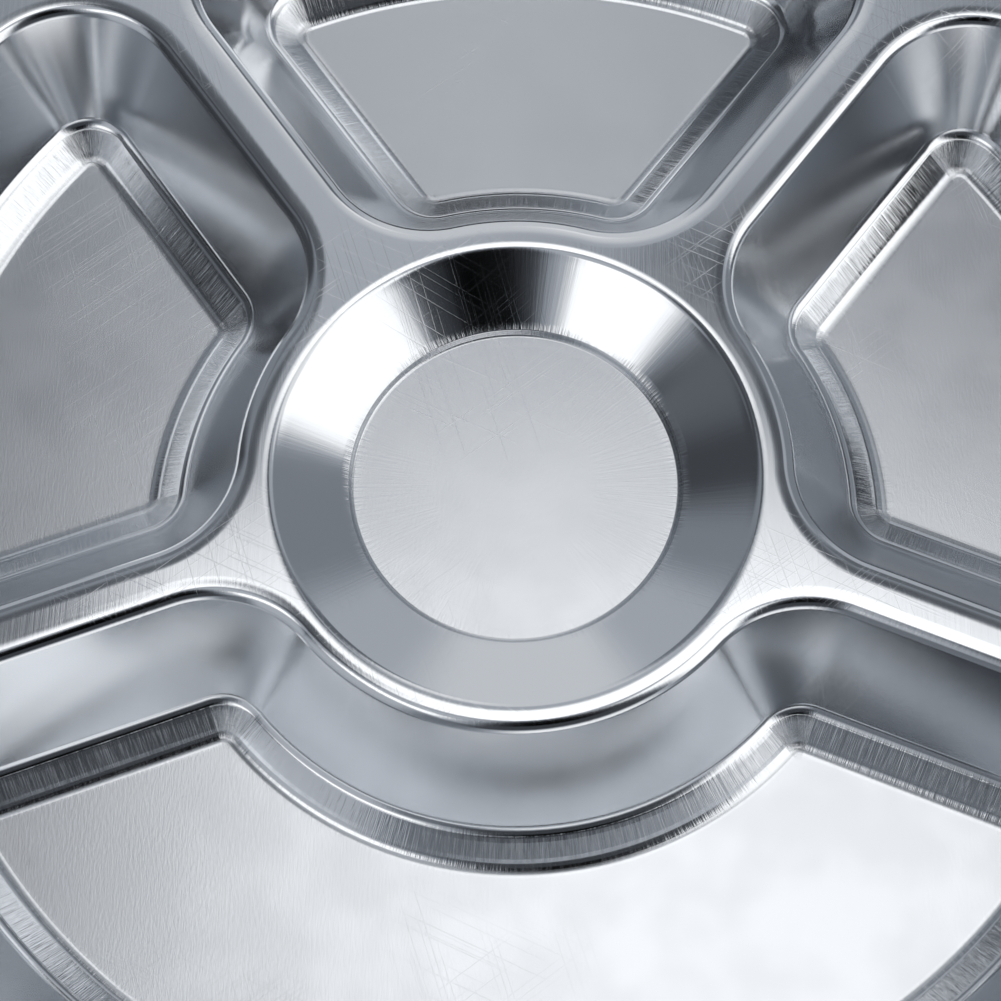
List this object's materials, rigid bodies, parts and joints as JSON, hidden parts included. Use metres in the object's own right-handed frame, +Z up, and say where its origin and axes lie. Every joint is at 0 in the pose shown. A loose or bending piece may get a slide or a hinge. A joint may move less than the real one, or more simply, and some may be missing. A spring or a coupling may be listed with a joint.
{
  "type": "divided compartment plate",
  "caption": "Round pressed stainless-steel dinner plate with a wide front compartment, side and back compartments, a shallow round middle dish and a rolled rim.",
  "frame": {"origin": "middle of the plate, on the surface that it stands on", "axes": "+Z up, the widest compartment to the front towards -Y, +X to the right"},
  "size_m": [0.28, 0.28, 0.0265],
  "materials": {
    "polished_steel": "polished",
    "well_steel": "polished walls with satin floors"
  },
  "bodies": {
    "root": {"centre_well": "well_steel", "front_well": "well_steel", "back_well": "well_steel", "left_well": "well_steel", "right_well": "well_steel", "divider_land": "polished_steel", "rolled_rim": "polished_steel"}
  },
  "joints": []
}
